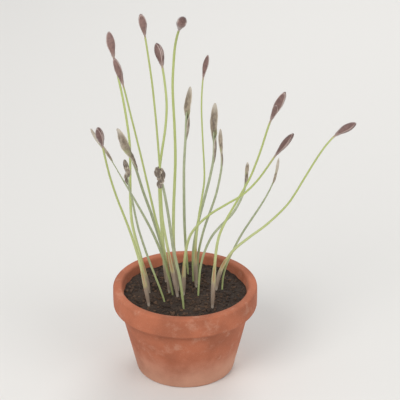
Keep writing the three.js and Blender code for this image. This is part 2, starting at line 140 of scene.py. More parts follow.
class StemSettings(bpy.types.PropertyGroup):
    """Colours of the fresh culms and their sheaths"""

    green: tint("Green", "Main colour of a fresh culm", "#a4b067")
    light: tint("Light green", "Colour between its ribs", "#c2ca86")
    low: tint("Pale green", "Colour of its lower part", "#c9ce9d")
    tan: tint("Tan", "Colour of the upper part of a sheath", "#b5b07c")
    rust: tint("Rust", "Colour of the streak on a sheath", "#a8794c")
    mauve: tint("Mauve", "Colour of the lower part of a sheath", "#94826f")
    pale: tint("Pale", "Colour of the foot of a sheath", "#b5a898")


class BudSettings(bpy.types.PropertyGroup):
    """Sizes and colours of the closed spikelets"""

    lift: length("Lift", "How far a scale's point stands off the bud", 0.16)
    thickness: length("Thickness", "Thickness of a scale", 0.14)
    mauve: tint("Mauve", "Main colour of a scale", "#91726a")
    dark: tint("Dark mauve", "Colour of its veins and spots", "#6a4f4a")
    margin: tint("Margin", "Colour of its papery margin", "#c9b3aa")
    neck: tint("Neck", "Colour of a spikelet's neck", "#b3a57c")


class WitheredSettings(bpy.types.PropertyGroup):
    """Sizes and colours of the faded culms and withered heads"""

    thickness: length("Thickness", "Thickness of a withered bract", 0.3)
    stem: tint("Stem", "Main colour of a faded culm", "#969e7c")
    rib: tint("Rib", "Colour of its ribs", "#bcc19f")
    foot: tint("Foot", "Colour of its foot", "#a6b272")
    brown: tint("Brown", "Main colour of a withered bract", "#a39480")
    dark: tint("Dark brown", "Colour of its spots", "#685a4d")
    cream: tint("Cream", "Colour of its tip and edges", "#d3cabb")


class StudioSettings(bpy.types.PropertyGroup):
    """Floor, light and camera of the studio"""

    floor: tint("Floor", "Colour of the floor", "#dcdad6")
    sky: tint("Sky", "Colour of the light from all round", "#f4f5f7")
    sky_strength: FloatProperty(
        name="Sky strength", description="Strength of the light from all round", default=0.55, min=0,
    )
    key_power: FloatProperty(
        name="Key power", description="Power of the main lamp", default=26, unit="POWER", min=0,
    )
    lens: FloatProperty(
        name="Lens", description="Focal length of the camera", default=147, unit="CAMERA", min=1,
    )
    aim_up: length("Aim", "Height up the view that the camera is aimed at", 84)


class CottonGrassSettings(bpy.types.PropertyGroup):
    """All settings of the potted cotton grass"""

    pot: PointerProperty(type=PotSettings)
    soil: PointerProperty(type=SoilSettings)
    stems: PointerProperty(type=StemSettings)
    buds: PointerProperty(type=BudSettings)
    withered: PointerProperty(type=WitheredSettings)
    studio: PointerProperty(type=StudioSettings)


# Curves


class Smooth:
    """A smooth function through knots.

    It is a cubic between knots. Its slope at a knot is the mean of the two chords' slopes, each
    weighted by the other's span. The last stretch at each end is a parabola.
    """

    def __init__(self, knots, values):
        self.knots = np.asarray(knots, float)
        values = np.asarray(values, float).reshape(len(self.knots), -1)
        spans = np.diff(self.knots)[:, None]
        chords = np.diff(values, axis=0) / spans
        inner = (chords[:-1] * spans[1:] + chords[1:] * spans[:-1]) / (spans[:-1] + spans[1:])
        slopes = np.concatenate([2 * chords[:1] - inner[:1], inner, 2 * chords[-1:] - inner[-1:]])
        square = (3 * chords - 2 * slopes[:-1] - slopes[1:]) / spans
        cube = (slopes[:-1] + slopes[1:] - 2 * chords) / spans**2
        self.terms = values[:-1], slopes[:-1], square, cube

    def at(self, x):
        """Values and slopes at x, one row for each."""
        span = np.searchsorted(self.knots[1:-1], np.ravel(x), side="right")
        t = (np.ravel(x) - self.knots[span])[:, None]
        value, slope, square, cube = (term[span] for term in self.terms)
        return value + t * (slope + t * (square + t * cube)), slope + t * (2 * square + 3 * t * cube)


def through(pairs, x):
    """Smooth function through [x, value] pairs, level past its ends, in the shape of x."""
    knots, values = np.transpose(pairs)
    return Smooth(knots, values).at(np.clip(x, knots[0], knots[-1]))[0].reshape(np.shape(x))


def ramp(value, low, high):
    """0 below low and 1 above high, straight between. Low may be the higher one."""
    return np.clip((value - low) / (high - low), 0, 1)


def once_round(sides):
    """Evenly spaced angles, one for each side of a tube."""
    return np.linspace(0, 2 * math.pi, sides, endpoint=False)


def unit(vectors):
    """The vectors, one in each row, at length 1."""
    return vectors / np.linalg.norm(vectors, axis=-1, keepdims=True)


class Line:
    """A smooth curve through points, measured by the distance along the chords between them.

    Across the view, side is square to the line, and deep points away from the viewer, square to
    both.
    """

    def __init__(self, points):
        points = np.asarray(points)
        steps = np.linalg.norm(np.diff(points, axis=0), axis=1)
        self.knots = np.concatenate([[0], np.cumsum(steps)])
        self.curve = Smooth(self.knots, points)

    def frames(self, distance):
        """Centre, side and deep at each distance."""
        centre, slope = self.curve.at(distance)
        forward = unit(slope)
        side = unit(np.cross(INTO_THE_VIEW, forward))
        return centre, side, np.cross(forward, side)

    def carry(self, distance, right, back):
        """The line's points at the distances, each moved right along side and back along deep."""
        distance, right, back = np.broadcast_arrays(distance, right, back)
        centre, side, deep = self.frames(distance)
        places = centre + side * right.reshape(-1, 1) + deep * back.reshape(-1, 1)
        return places.reshape(*distance.shape, 3)

    def tube(self, distance, radius, angle, back=0):
        """Places round the line by their angle from side towards deep, moved back along deep."""
        return self.carry(distance, radius * np.cos(angle), radius * np.sin(angle) + back)

    def beside(self, points):
        """For each point, the distance along the line of its nearest place, and how far right it is."""
        along = np.arange(0, self.knots[-1], 0.3 * MM)
        centre, side, _ = self.frames(along)
        nearest = np.linalg.norm(points[:, None] - centre[None], axis=-1).argmin(axis=1)
        return along[nearest], np.sum((points - centre[nearest]) * side[nearest], axis=1)


# Measuring the CAD nodes


def corner_points(node):
    """The corners of a CAD node's mesh, each place once."""
    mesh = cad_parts[node].data
    points = np.empty(3 * len(mesh.vertices))
    mesh.vertices.foreach_get("co", points)
    return np.unique(points.reshape(-1, 3).round(6), axis=0)


def ring_centres(node):
    """Centres and radii of a culm's rings, from its foot up.

    A ring is the corners near the lowest one that is left. Its centre is their mean, and its
    radius reaches the furthest of them.
    """
    left = corner_points(node)
    left = left[np.argsort(left[:, 2])]
    centres = []
    radii = []
    while len(left):
        near = np.linalg.norm(left - left[0], axis=1) < RING_REACH
        centres.append(left[near].mean(axis=0))
        radii.append(np.linalg.norm(left[near] - centres[-1], axis=1).max())
        left = left[~near]
    return centres, radii


def far_end(points, start):
    """Middle of the points at the end that is furthest from start."""
    tip = points[np.linalg.norm(points - start, axis=1).argmax()]
    return points[np.linalg.norm(points - tip, axis=1) < TIP_REACH].mean(axis=0)


class Culm:
    """A culm with its head, measured on their CAD nodes.

    The line runs from the buried end through the head to its tip. The last two rings are the
    neck, where the head starts, and the end of the peg in it.
    """

    def __init__(self, culm_node, head_node, sheath_node=None):
        centres, radii = ring_centres(culm_node)
        neck = centres[-2]
        head = corner_points(head_node)
        tip = far_end(head, neck)
        share = (head - neck) @ (tip - neck) / np.sum((tip - neck) ** 2)
        middle = head[(share > HEAD_MIDDLE[0]) & (share < HEAD_MIDDLE[1])].mean(axis=0)
        self.line = Line([*centres, middle, tip])
        self.foot = SOIL_LEVEL - centres[0][2]
        self.neck = self.line.knots[-4]
        self.reach = self.line.knots[-1]
        self.radii = radii[:-1]
        along, right = self.line.beside(head)
        self.half_width = np.abs(right[along > self.in_head(WIDTH_FROM)]).max()
        if sheath_node:
            self.mouth = self.line.beside(corner_points(sheath_node))[0].max()
            self.stout = self.mouth + STOUT_ABOVE

    def radius(self, distance):
        """Radius of the culm, straight from ring to ring."""
        return np.interp(distance, self.line.knots[:-3], self.radii)

    def in_head(self, share):
        """The distance at a share of the head, from the neck to the tip."""
        return self.neck + share * (self.reach - self.neck)


def numbers_of(kind):
    """The numbers at the end of the names of one kind of CAD node."""
    return sorted(node[-2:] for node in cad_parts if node.startswith(kind))


FRESH = {
    number: Culm(f"fresh_culm_{number}", f"spikelet_{number}", f"sheath_{number}")
    for number in numbers_of("fresh_culm")
}
FADED = {
    number: Culm(f"faded_culm_{number}", f"withered_head_{number}")
    for number in numbers_of("faded_culm")
}


# Meshes


def linked(name, data):
    """A new object with the data, in the scene."""
    made = bpy.data.objects.new(name, data)
    bpy.context.scene.collection.objects.link(made)
    return made


def cell_corners(grid):
    """The four corners of each cell of grids of rows by columns, anticlockwise."""
    low, high = grid[:, :-1], grid[:, 1:]
    return np.stack([low[:, :, :-1], low[:, :, 1:], high[:, :, 1:], high[:, :, :-1]], axis=3)


class Skin:
    """Gathers closed tubes into one mesh.

    A tube is rows of points, anticlockwise seen from its last row, with a flat cap at each end.
    Its UV map runs once round it, and up it in metres. Its marks are named numbers for the
    material to read.
    """

    def __init__(self):
        self.points = []
        self.quads = []
        self.caps = []
        self.quad_uvs = []
        self.cap_uvs = []
        self.marks = {}
        self.count = 0

    def add(self, points, up, **marks):
        """Adds a tube, as points in rows and sides, with how far up each row lies.

        Or it adds tubes alike in size, with one more index in front.
        """
        tubes, rows, sides, _ = points.reshape(-1, *points.shape[-3:]).shape
        index = self.count + np.arange(tubes * rows * sides).reshape(tubes, rows, sides)
        closed = np.concatenate([index, index[..., :1]], axis=-1)
        shape = (tubes, rows, sides + 1)
        around = np.arange(sides + 1) / sides
        uvs = np.stack([np.broadcast_to(value, shape) for value in (around, up)], axis=-1)
        self.quads.append(cell_corners(closed).reshape(-1, 4))
        self.quad_uvs.append(cell_corners(uvs).reshape(-1, 2))
        for end, way in ((0, -1), (-1, 1)):
            self.caps.extend(index[:, end, ::way].tolist())
            self.cap_uvs.append(uvs[:, end, :-1][:, ::way].reshape(-1, 2))
        for name, value in marks.items():
            self.marks.setdefault(name, []).append(np.broadcast_to(value, index.shape).ravel())
        self.points.append(points.reshape(-1, 3))
        self.count += points.size // 3

    def piece(self, name, material, slot, *nodes):
        """Makes the piece, which stands for the named CAD nodes and rides with them."""
        mesh = bpy.data.meshes.new(name)
        faces = np.concatenate(self.quads).tolist() + self.caps
        mesh.from_pydata(np.concatenate(self.points), [], faces)
        uvs = mesh.uv_layers.new(name="UVMap")
        uvs.data.foreach_set("uv", np.concatenate(self.quad_uvs + self.cap_uvs).ravel())
        for mark, values in self.marks.items():
            attribute = mesh.attributes.new(name=mark, type="FLOAT", domain="POINT")
            attribute.data.foreach_set("value", np.concatenate(values))
        mesh.shade_smooth()
        mesh.set_sharp_from_angle(angle=math.radians(55))
        mesh.materials.append(material)
        made = linked(name, mesh)
        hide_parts(*nodes)
        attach(made, "root")
        return made


def turned(profile, sides):
    """A tube round the Z axis through [radius, height] pairs."""
    radius, height = np.transpose(profile)[:, :, None]
    angle = once_round(sides)
    place = np.broadcast_arrays(radius * np.cos(angle), radius * np.sin(angle), height)
    return np.stack(place, axis=-1)


def flat_tube(columns):
    """Places across a flat tube, from -1 to 1 and back, and 0 on its one face, 1 on the other."""
    face = np.linspace(-1, 1, columns)
    return np.concatenate([face, face[::-1]]), np.repeat([0, 1], columns)


def eased(corners, steps=5):
    """A profile with rounded corners.

    Corners are [x, y, ease]. Each is cut back by its ease along both sides, and a parabola with
    the corner as its control point joins the cuts.
    """
    corners = np.array(corners, float)
    places = corners[:, :2]
    rounded = [places[:1]]
    for before, corner, after, ease in zip(places, places[1:], places[2:], corners[1:, 2]):
        start = corner + ease * unit(before - corner)
        end = corner + ease * unit(after - corner)
        t = np.linspace(0, 1, steps)[:, None]
        rounded.append((1 - t) ** 2 * start + 2 * t * (1 - t) * corner + t**2 * end)
    return np.concatenate([*rounded, places[-1:]])


def lattice_noise(x, y, cell, rng):
    """Smooth noise from -1 to 1: random heights on a square lattice, eased from point to point."""
    size = 64
    heights = rng.uniform(-1, 1, (size, size))
    column, row = np.floor(x / cell).astype(int), np.floor(y / cell).astype(int)
    across, up = (share**2 * (3 - 2 * share) for share in (x / cell - column, y / cell - row))
    near, far = (
        heights[line % size, column % size] * (1 - across)
        + heights[line % size, (column + 1) % size] * across
        for line in (row, row + 1)
    )
    return near * (1 - up) + far * up


# Materials


class Finish:
    """A material in coats of colour, and short ways to add nodes to it and join them."""

    def __init__(self, name, colour, **constants):
        self.material = bpy.data.materials.new(name)
        self.material.use_nodes = True
        self.tree = self.material.node_tree
        self.shader = self.tree.nodes["Principled BSDF"]
        self.colour = (*colour, 1)
        inputs = {socket.replace("_", " "): value for socket, value in constants.items()}
        self.feed(self.shader, {"Base Color": self.colour, **inputs})

    def feed(self, node, inputs):
        """Sets or joins inputs of a node."""
        for key, value in inputs.items():
            if isinstance(value, bpy.types.NodeSocket):
                self.tree.links.new(value, node.inputs[key])
            else:
                node.inputs[key].default_value = value

    def add(self, kind, inputs, output=0, **settings):
        """Adds a node, and returns one of its outputs."""
        made = self.tree.nodes.new(f"ShaderNode{kind}")
        for name, value in settings.items():
            setattr(made, name, value)
        self.feed(made, inputs)
        return made.outputs[output]

    def place(self):
        """Where a point lies on the object, in metres."""
        return self.add("TexCoord", {}, "Object")

    def around_and_up(self):
        """The UV map's two numbers: the share round the tube, and metres up it."""
        split = self.add("SeparateXYZ", {0: self.add("TexCoord", {}, "UV")}).node
        return split.outputs[0], split.outputs[1]

    def mark(self, name):
        """A number that the mesh carries."""
        return self.add("Attribute", {}, "Fac", attribute_name=name)

    def maths(self, operation, first, second=0.0, third=0.0):
        """A sum, product or other operation on numbers."""
        return self.add("Math", {0: first, 1: second, 2: third}, operation=operation)

    def times(self, first, second):
        """The product of two numbers."""
        return self.maths("MULTIPLY", first, second)

    def plus(self, value, other, share):
        """The value plus a share of another."""
        return self.maths("MULTIPLY_ADD", other, share, value)

    def band(self, value, low, high):
        """As ramp, but with a smooth step between low and high."""
        inputs = {"Value": value, "From Min": low, "From Max": high}
        return self.add("MapRange", inputs, interpolation_type="SMOOTHSTEP")

    def noise(self, scale, detail=3.0, rough=0.55, upright=1.0):
        """Cloudy noise around a half, over metres. Below 1, upright draws it out along Z."""
        place = self.place()
        if upright < 1:
            place = self.add("Mapping", {0: place, "Scale": (1, 1, upright)})
        inputs = {"Vector": place, "Scale": scale, "Detail": detail, "Roughness": rough}
        return self.add("TexNoise", inputs, "Fac")

    def ribs(self, count, twist):
        """Ribs along a tube, from 0 to 1: a sine of the share round it, slowly turned on its way up."""
        around, up = self.around_and_up()
        turn = self.times(around, 2 * math.pi * count)
        phase = self.plus(turn, up, 2 * math.pi * twist)
        return self.plus(0.5, self.maths("SINE", phase), 0.5)

    def cover(self, share, colour, strength=1.0):
        """Lays a coat of colour over the others, as thick as the share times the strength."""
        if strength < 1:
            share = self.times(share, strength)
        inputs = {0: share, 6: self.colour, 7: (*colour, 1)}
        self.colour = self.add("Mix", inputs, 2, data_type="RGBA")

    def finish(self, height, depth):
        """The material, with its relief as deep as the depth."""
        normal = self.add("Bump", {"Height": height, "Distance": depth, "Strength": 1.0})
        self.feed(self.shader, {"Base Color": self.colour, "Normal": normal})
        return self.material


def clay_finish(settings):
    """Fired clay: cloudy in colour, sandy to the touch, with turning marks and a chalky foot."""
    clay = Finish("fired_clay", [0.72 * share for share in settings.clay], Roughness=0.88)
    height = clay.add("SeparateXYZ", {0: clay.place()}, 2)
    clouds = clay.noise(32, 5)
    sand = clay.noise(1400, 2)
    clay.cover(clay.band(clouds, 0.3, 0.7), settings.clay)
    clay.cover(clay.band(sand, 0.55, 0.8), settings.bloom, 0.3)
    foot = clay.band(clay.plus(height, clouds, -0.05), 0.012, -0.024)
    patches = clay.band(clay.noise(75, 6, 0.7), 0.5, 0.72)
    clay.cover(clay.maths("MAXIMUM", foot, clay.times(patches, 0.55)), settings.bloom, 0.6)
    marks = clay.maths("SINE", clay.plus(clouds, height, 2 * math.pi / TURNING_STEP))
    return clay.finish(clay.plus(sand, marks, 0.25), 0.12 * MM)


def soil_finish(settings):
    """Crumbly soil: dark peat with dry brown grains. The mark dryness sets a crumb's own colour."""
    soil = Finish("potting_soil", settings.peat, Roughness=0.95)
    grains = soil.noise(700, 4, 0.65)
    dry = soil.maths("ADD", soil.band(grains, 0.52, 0.8), soil.mark("dryness"))
    patches = soil.band(soil.noise(45), 0.35, 0.75)
    soil.cover(soil.maths("MINIMUM", soil.plus(dry, patches, 0.2), 1.0), settings.dry)
    return soil.finish(grains, 0.5 * MM)


def stem_finish(settings):
    """Living culm: yellow-green, paler below, with ribs that wind round it, and tan at both ends.

    The mark from_end grows from the sheath's mouth up and from the bud's neck down.
    """
    stem = Finish("fresh_stem", settings.green, Roughness=0.45, Coat_Weight=0.08, Coat_Roughness=0.4)
    ribs = stem.ribs(9, 26)
    clouds = stem.noise(160, 4)
    stem.cover(stem.times(ribs, clouds), settings.light)
    rise = stem.plus(stem.around_and_up()[1], clouds, -60 * MM)
    stem.cover(stem.band(rise, 0.12, 0.02), settings.low, 0.55)
    from_end = stem.plus(stem.mark("from_end"), clouds, 0.7)
    stem.cover(stem.band(from_end, 1.0, 0.35), settings.tan, 0.8)
    return stem.finish(ribs, 0.06 * MM)


def sheath_finish(settings):
    """Leaf sheath: pale foot, mauve-brown below, tan above with a rusty streak, green at its mouth.

    The marks are rise, from 0 at the soil to 1 at the mouth, and beside_streak, the angle from
    the middle of the streak.
    """
    sheath = Finish("leaf_sheath", settings.mauve, Roughness=0.55, Sheen_Weight=0.15, Sheen_Roughness=0.4)
    ribs = sheath.ribs(12, 14)
    fibres = sheath.noise(900, upright=0.1)
    rise = sheath.maths("ADD", sheath.mark("rise"), -0.25)
    rise = sheath.plus(rise, sheath.noise(130, 4), 0.5)
    side = sheath.maths("ABSOLUTE", sheath.mark("beside_streak"))
    reach = sheath.times(sheath.band(rise, 0.5, 0.7), sheath.band(rise, 1.1, 0.85))
    sheath.cover(sheath.band(rise, 0.42, 0.64), settings.tan)
    sheath.cover(sheath.times(sheath.band(side, 0.75, 0.1), reach), settings.rust)
    sheath.cover(sheath.band(rise, 0.78, 1.02), settings.green)
    sheath.cover(sheath.band(rise, 0.12, 0.0), settings.pale)
    sheath.cover(sheath.band(fibres, 0.35, 0.7), settings.pale, 0.4)
    return sheath.finish(sheath.maths("ADD", ribs, fibres), 0.08 * MM)


def bud_finish(settings):
    """Papery scale: mauve with darker veins and spots, a pale thin margin, and tan at the neck.

    The marks are edge, from 0 at a scale's middle to 1 at its margin, tone, which differs from
    scale to scale and is raised on the spindle as painted shade for the slits between scales, and
    share, from 0 at the bud's neck to 1 at its tip.
    """
    bud = Finish("papery_scale", settings.mauve, Roughness=0.6, Sheen_Weight=1.0, Sheen_Roughness=0.3)
    share = bud.mark("share")
    veins = bud.ribs(30, 20)
    clouds = bud.noise(420, 4, 0.6)
    spots = bud.band(bud.noise(1100, 3, 0.6), 0.57, 0.68)
    dark = bud.times(bud.plus(bud.band(clouds, 0.38, 0.75), veins, 0.18), 0.7)
    dark = bud.maths("ADD", bud.plus(dark, spots, 0.3), bud.mark("tone"))
    bud.cover(bud.add("Clamp", {0: dark}), settings.dark)
    edge = bud.band(bud.plus(bud.mark("edge"), clouds, 0.3), 0.85, 1.1)
    neck = bud.times(bud.band(share, 0.3, 0.0), 0.6)
    bud.cover(bud.maths("MAXIMUM", edge, neck), settings.margin, 0.8)
    bud.cover(bud.band(bud.plus(share, clouds, 0.1), 0.13, 0.05), settings.neck, 0.6)
    return bud.finish(bud.plus(clouds, veins, 0.5), 0.1 * MM)


def faded_finish(settings):
    """Ageing culm: grey-green with pale ribs, and greener towards its foot.

    The mark height is 0 at the soil and 1 at the head.
    """
    stem = Finish("faded_stem", settings.stem, Roughness=0.65)
    ribs = stem.ribs(7, 22)
    clouds = stem.noise(210, 4)
    stem.cover(stem.times(ribs, stem.band(clouds, 0.25, 0.7)), settings.rib)
    height = stem.plus(stem.mark("height"), clouds, 0.3)
    stem.cover(stem.band(height, 0.65, 0.2), settings.foot, 0.85)
    stem.cover(stem.band(stem.noise(1500, 2), 0.62, 0.72), settings.brown, 0.35)
    return stem.finish(ribs, 0.09 * MM)


def withered_finish(settings):
    """Dry bract: brownish, darker in its middle, cream at its tip and edges, with fine fibres.

    The marks are edge and share, as on a bud, tone, which darkens it, and sap, where it is green. On a
    shrivelled lobe, edge and tone follow its dents and folds: painted shade in the dents and furrows, and
    a painted highlight on the bumps and ridges.
    """
    bract = Finish("withered_bract", settings.brown, Roughness=0.8, Sheen_Weight=0.25, Sheen_Roughness=0.5)
    edge = bract.mark("edge")
    tone = bract.mark("tone")
    fibres = bract.ribs(26, 35)
    clouds = bract.noise(400, 5, 0.65, GRAIN)
    spots = bract.band(bract.noise(1100, 3, 0.7, GRAIN), 0.5, 0.64)
    # On the sheets this dark coat is the bract's own darker middle and spots; on a shrivelled lobe, where
    # edge and tone follow its dents and folds, it is also painted shade in the dents and furrows
    dark = bract.times(bract.band(edge, 0.95, 0.2), bract.band(clouds, 0.32, 0.72))
    dark = bract.maths("ADD", bract.plus(dark, bract.times(spots, fibres), 0.35), tone)
    bract.cover(bract.add("Clamp", {0: dark}), settings.dark)
    bract.cover(bract.band(bract.noise(300, 5, 0.65, GRAIN), 0.5, 0.7), settings.cream, 0.35)
    tip = bract.band(bract.plus(bract.mark("share"), clouds, 0.25), 0.9, 1.12)
    # On a shrivelled lobe the rim and the bleaching below are high on its bumps and ridges, as a painted
    # highlight; on the sheets they are the bract's own cream edges and bleaching
    rim = bract.band(bract.plus(edge, clouds, 0.3), 0.86, 1.12)
    bleached_and_highlit = bract.times(bract.band(bract.plus(tone, clouds, 0.4), 0.1, -0.35), 0.7)
    pale = bract.maths("MAXIMUM", bract.maths("MAXIMUM", tip, rim), bleached_and_highlit)
    bract.cover(pale, settings.cream, 0.8)
    bract.cover(bract.times(bract.mark("sap"), bract.band(clouds, 0.3, 0.55)), settings.foot, 0.5)
    return bract.finish(bract.plus(clouds, fibres, 0.5), 0.14 * MM)


# Pieces


def make_pot(settings):
    """The pot: its profile turned round the Z axis, less the drain holes.

    The profile runs from the middle of the underside up the outside, over the rim and down the
    inside, which lies a wall's thickness in and keeps its slope to the top.
    """
    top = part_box("pot")[1]
    rim_foot = top.z - settings.rim_height
    taper = (settings.shoulder_radius - settings.foot_radius) / rim_foot
    brim = settings.foot_radius + taper * top.z - settings.wall
    basin = settings.foot_radius + taper * settings.floor - settings.wall
    ease = settings.ease
    axis = 0.2 * MM
    profile = eased([
        [axis, 0, 0],
        [settings.foot_radius, 0, 0.8 * ease],
        [settings.shoulder_radius, rim_foot, 0.3 * ease],
        [top.x, rim_foot, ease],
        [top.x + 0.4 * MM, 0.5 * (rim_foot + top.z), 0.4 * settings.rim_height],
        [top.x, top.z, ease],
        [brim, top.z, ease],
        [basin, settings.floor, 1.5 * ease],
        [axis, settings.floor, 0],
    ])
    skin = Skin()
    skin.add(turned(profile, 160), profile[:, 1:])
    pot = skin.piece("clay_pot", clay_finish(settings), "clay", "pot")
    drill_drains(pot, settings)


def drill_drains(pot, settings):
    """Cuts the drain holes out of the pot where the CAD node has them.

    Their corners are those inside the foot on the underside. Each hole's middle is the mean of
    the corners near the first one left.
    """
    corners = corner_points("pot")
    axis = 0.1 * MM
    radius = settings.drain_radius
    bottom, top = -2 * MM, settings.floor + 2 * MM
    inside_foot = np.hypot(*corners[:, :2].T) < 0.8 * settings.foot_radius
    rims = corners[inside_foot & (corners[:, 2] < 0.1 * MM)]
    outline = [[axis, bottom, 0], [radius, bottom, axis], [radius, top, axis], [axis, top, 0]]
    drain = eased(outline, steps=2)
    skin = Skin()
    while len(rims):
        near = np.linalg.norm(rims - rims[0], axis=1) < 2.2 * radius
        skin.add(turned(drain, 32) + [*rims[near].mean(axis=0)[:2], 0], drain[:, 1:])
        rims = rims[~near]
    cutter = skin.piece("drain_cutter", pot.data.materials[0], "clay", "pot")
    cut = pot.modifiers.new("drains", "BOOLEAN")
    cut.object = cutter
    cut.solver = "EXACT"
    evaluated = pot.evaluated_get(bpy.context.evaluated_depsgraph_get())
    drilled = bpy.data.meshes.new_from_object(evaluated)
    pot.modifiers.clear()
    pot.data = drilled
    bpy.data.objects.remove(cutter)


def soil_height(x, y):
    """Height of the soil's surface: three sizes of lattice noise, on slow waves."""
    rng = np.random.default_rng(SEED)
    waves = np.sin(120 * x + 1) * np.cos(120 * y) + 0.5 * np.sin(250 * (x + y))
    lumps = lattice_noise(x, y, 7 * MM, rng)
    clods = lattice_noise(x, y, 2.6 * MM, rng)
    grains = lattice_noise(x, y, 1.1 * MM, rng)
    return SOIL_LEVEL + (0.8 * waves + 0.7 * lumps + 0.55 * clods + 0.35 * grains) * MM


def make_soil(settings):
    """The soil: a turned body whose top is lifted to the surface's height."""
    low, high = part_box("soil")
    material = soil_finish(settings)
    edge = high.x
    foot = 0.78 * edge
    axis = 0.3 * MM
    rings = [[radius, SOIL_LEVEL] for radius in np.linspace(edge, axis, 110)]
    surface = turned([[axis, low.z], [foot, low.z], *rings], 260)
    top = surface[2:]
    top[..., 2] = soil_height(top[..., 0], top[..., 1])
    skin = Skin()
    skin.add(surface, 0, dryness=0)
    skin.piece("potting_soil", material, "soil", "soil")
    scatter_crumbs(material, edge, settings)


# How far from the middle of a culm the loose crumbs keep
CULM_CLEARANCE = 3.2 * MM


def scatter_crumbs(material, edge, settings):
    """Loose crumbs: small uneven balls on the soil, clear of the culms.

    A ball is rows of six points, each at a random share of the ball's size from its middle. It is
    drawn out along X and turned about Z.
    """
    rng = np.random.default_rng(SEED + 1)
    radius = (edge - 2 * MM) * np.sqrt(rng.uniform(0, 1, settings.crumbs))
    angle = rng.uniform(0, 2 * math.pi, settings.crumbs)
    middles = np.stack([radius * np.cos(angle), radius * np.sin(angle)], axis=1)
    feet = [culm.line.curve.at(culm.foot)[0][0, :2] for culm in (*FRESH.values(), *FADED.values())]
    gaps = np.linalg.norm(middles[:, None] - np.array(feet)[None], axis=-1).min(axis=1)
    middles = middles[gaps > CULM_CLEARANCE]
    each = (len(middles), 1, 1)
    size = rng.uniform(0.5, 1.0, each) ** 2 * 1.6 * MM
    stretch = 1 + 1.6 * rng.uniform(0, 1, each) ** 3
    turn = rng.uniform(0, math.pi, each)
    latitude = np.radians([-72, -30, 12, 50, 78])[:, None]
    longitude = once_round(6)
    bulk = size * rng.uniform(0.75, 1.2, (len(middles), 5, 6))
    along = bulk * np.cos(latitude) * np.cos(longitude) * stretch
    across = bulk * np.cos(latitude) * np.sin(longitude)
    x, y = middles.T.reshape(2, *each)
    z = soil_height(x, y) + 0.25 * size + 0.7 * bulk * np.sin(latitude)
    x = x + along * np.cos(turn) - across * np.sin(turn)
    y = y + along * np.sin(turn) + across * np.cos(turn)
    skin = Skin()
    skin.add(np.stack([x, y, z], axis=-1), 0, dryness=rng.uniform(-0.2, 0.8, each))
    skin.piece("soil_crumbs", material, "soil", "soil")


def ribbed(radius, angle, distance, ribs, depth, twist):
    """Radius of a ribbed tube: a sine round it, turned slowly on its way up."""
    return radius + depth * np.sin(ribs * angle + twist * distance)


# How far a fresh culm is tan up from its sheath, and down from its bud, in millimetres, where
# that isn't 9
TAN_ABOVE_SHEATH = 14 * MM
TAN_REACH = {"05": 3, "08": 26, "09": 14}

# How much slimmer a fresh culm is inside its sheath, and between which depths it grows so
SLIMMER = 0.7 * MM
SLIM_DEPTHS = (4 * MM, 12 * MM)


def make_fresh_culms(settings):
    """Fresh culms: ribbed tubes on the CAD culms' lines.

    The radius above the sheath's mouth goes on a little way down inside it, so that the sheath
    closes on the culm, and is slim below.
    """
    material = stem_finish(settings)
    for number, culm in FRESH.items():
        distance = np.arange(0, culm.neck + 3 * MM, 1.6 * MM)[:, None]
        angle = once_round(CULM_SIDES)
        slim = ramp(culm.mouth - distance, *SLIM_DEPTHS)
        girth = culm.radius(np.maximum(distance, culm.stout)) - SLIMMER * slim
        radius = ribbed(CULM_FILL * girth, angle, distance, ribs=9, depth=0.02 * MM, twist=160)
        below_bud = (culm.neck - distance) / (TAN_REACH.get(number, 9) * MM)
        from_end = np.minimum((distance - culm.mouth) / TAN_ABOVE_SHEATH, below_bud)
        skin = Skin()
        skin.add(culm.line.tube(distance, radius, angle), distance, from_end=from_end)
        skin.piece(f"green_stem_{number}", material, "fresh_stem", f"fresh_culm_{number}")


# Outer radius of a sheath, in millimetres, from the soil up. At its mouth it is the culm's, with a
# lip more. Inside the mouth it lies a wall's thickness further in. Its foot is below the soil.
SHEATH_RADII = [[0, 1.1], [0.12, 1.45], [0.32, 1.88], [0.55, 1.95], [0.8, 1.68]]
LIP = 0.05 * MM
SHEATH_WALL = 0.12 * MM
SHEATH_FOOT = 9 * MM


def make_sheaths(settings):
    """Leaf sheaths: tubes round the culms' feet, with a slanted mouth.

    Rows run up the outside to the mouth and a little way down inside, at shares of the way from
    below the soil to the mouth, which is lower by a cosine round it, with a small ripple.
    """
    material = sheath_finish(settings)
    for number, culm in FRESH.items():
        rng = np.random.default_rng(SEED + 10 + int(number))
        share = np.concatenate([np.linspace(0, 1, 48), np.linspace(1, 0.88, 8)])[:, None]
        inside = np.repeat([0, SHEATH_WALL], [48, 8])[:, None]
        angle = once_round(36)
        low = culm.foot - SHEATH_FOOT
        notch = TOWARDS_VIEWER + rng.uniform(-1.2, 1.2)
        slant = 2.6 * MM * (1 - np.cos(angle - notch)) + 0.25 * MM * np.sin(5 * angle)
        distance = low + share * (culm.mouth - slant - low)
        rise = (distance - culm.foot) / (culm.mouth - culm.foot)
        mouth_radius = (culm.radius(culm.stout) + LIP) / MM
        radius = MM * through([*SHEATH_RADII, [1, mouth_radius]], rise) - inside
        radius = ribbed(radius, angle, distance, ribs=12, depth=0.025 * MM, twist=90)
        streak = TOWARDS_VIEWER + rng.uniform(-0.7, 0.9)
        beside = np.angle(np.exp(1j * (angle - streak)))
        rise = rise + rng.uniform(-0.07, 0.07)
        skin = Skin()
        up = distance.mean(axis=1, keepdims=True)
        skin.add(culm.line.tube(distance, radius, angle), up, rise=rise, beside_streak=beside)
        skin.piece(f"stem_sheath_{number}", material, "leaf_sheath", f"sheath_{number}")


